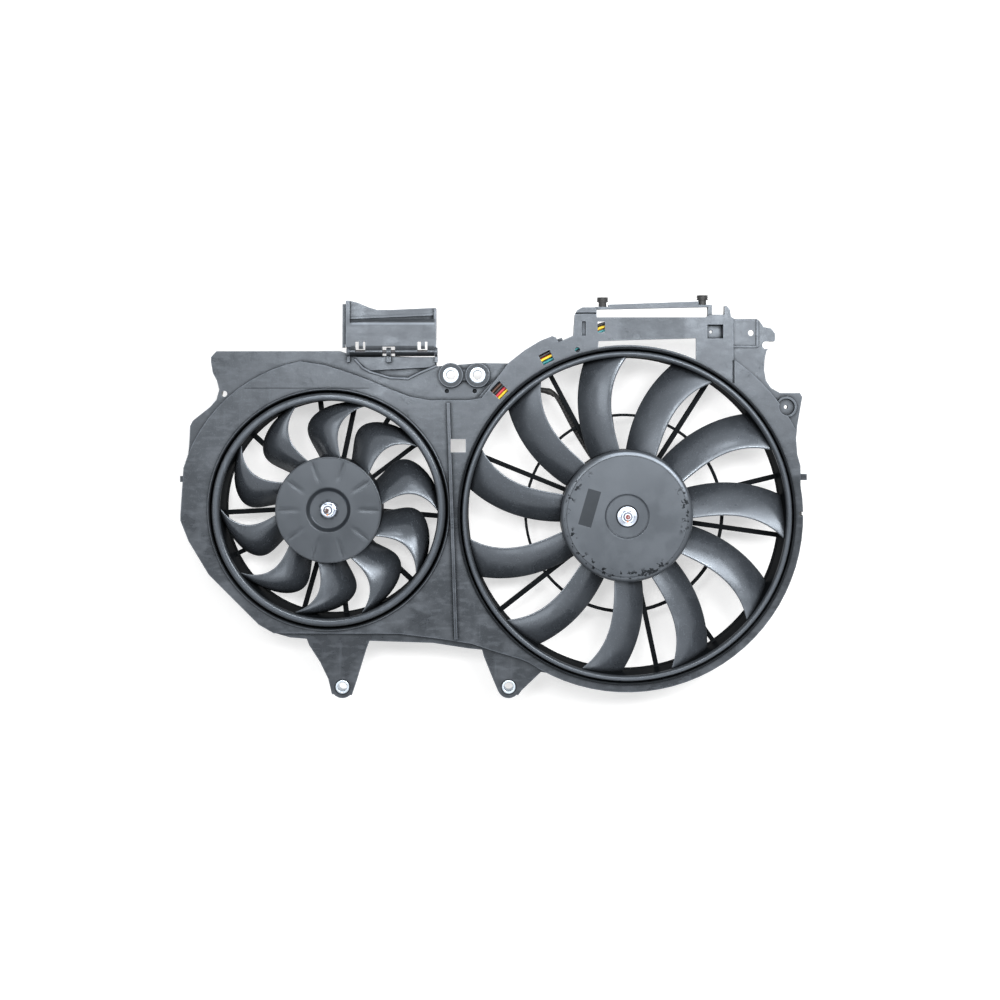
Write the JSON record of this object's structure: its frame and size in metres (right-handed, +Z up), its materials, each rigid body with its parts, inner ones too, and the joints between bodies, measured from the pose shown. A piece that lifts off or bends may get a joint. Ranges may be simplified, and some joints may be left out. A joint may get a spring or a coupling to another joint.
{
  "type": "radiator cooling fan",
  "caption": "Twin electric radiator fan in a moulded shroud with two banded impellers, motors on struts, mounting feet, a hinged flap and a wiring channel.",
  "frame": {"origin": "midway between the two lower mounting bores, on their radiator-side end faces", "axes": "+X to the right seen from the radiator side, +Y towards the engine, +Z up"},
  "size_m": [0.6895, 0.0933, 0.4425],
  "materials": {
    "shroud_plastic": "glass-filled moulded plastic, fine sheen",
    "impeller_plastic": "smooth moulded plastic",
    "flap_plastic": "moulded plastic",
    "sleeve_steel": "zinc-plated",
    "nut_steel": "zinc-plated",
    "shaft_steel": "ground",
    "pin_steel": "blackened",
    "can_steel": "drawn and passivated",
    "cap_plastic": "moulded",
    "magnet_ferrite": "sintered",
    "core_steel": "stacked sheets",
    "copper": "enamelled",
    "card_resin": "pressed sheet",
    "brush_carbon": "pressed carbon",
    "screw_steel": "zinc-plated",
    "buffer_rubber": "moulded",
    "insulation_brown": "extruded",
    "insulation_black": "extruded",
    "insulation_red": "extruded",
    "insulation_yellow": "extruded",
    "insulation_green": "extruded",
    "lead_rubber": "extruded"
  },
  "bodies": {
    "shroud_body": {"shroud": "shroud_plastic", "lower_sleeves": "sleeve_steel", "upper_sleeves": "sleeve_steel", "rubber_buffers": "buffer_rubber", "flap_pin": "pin_steel", "small_can": "can_steel", "small_end_cap": "cap_plastic", "small_magnets": "magnet_ferrite", "small_bearings": "shaft_steel", "small_brush_card": "card_resin", "small_brushes": "brush_carbon", "small_screws": "screw_steel", "large_can": "can_steel", "large_end_cap": "cap_plastic", "large_magnets": "magnet_ferrite", "large_bearings": "shaft_steel", "large_brush_card": "card_resin", "large_brushes": "brush_carbon", "large_screws": "screw_steel", "wire_brown": "insulation_brown", "wire_black": "insulation_black", "wire_red": "insulation_red", "wire_yellow": "insulation_yellow", "wire_green": "insulation_green", "connector": "cap_plastic", "loom_boot": "buffer_rubber", "small_lead": "lead_rubber", "large_lead": "lead_rubber"},
    "flap_body": {"flap": "flap_plastic"},
    "small_rotor": {"small_impeller": "impeller_plastic", "small_nut": "nut_steel", "small_shaft": "shaft_steel", "small_core": "core_steel", "small_windings": "copper", "small_commutator": "copper"},
    "large_rotor": {"large_impeller": "impeller_plastic", "large_nut": "nut_steel", "large_shaft": "shaft_steel", "large_core": "core_steel", "large_windings": "copper", "large_commutator": "copper"}
  },
  "joints": [
    {"name": "small_fan_spin", "type": "hinge", "parent": "shroud_body", "child": "small_rotor", "pos_m": [-0.105, 0, 0.196], "axis": [0, -1, 0], "continuous": true},
    {"name": "large_fan_spin", "type": "hinge", "parent": "shroud_body", "child": "large_rotor", "pos_m": [0.2205, 0, 0.189], "axis": [0, -1, 0], "continuous": true},
    {"name": "flap_hinge", "type": "hinge", "parent": "shroud_body", "child": "flap_body", "pos_m": [0, -0.005, 0.3685], "axis": [-1, 0, 0], "range_deg": [0, 60]}
  ]
}
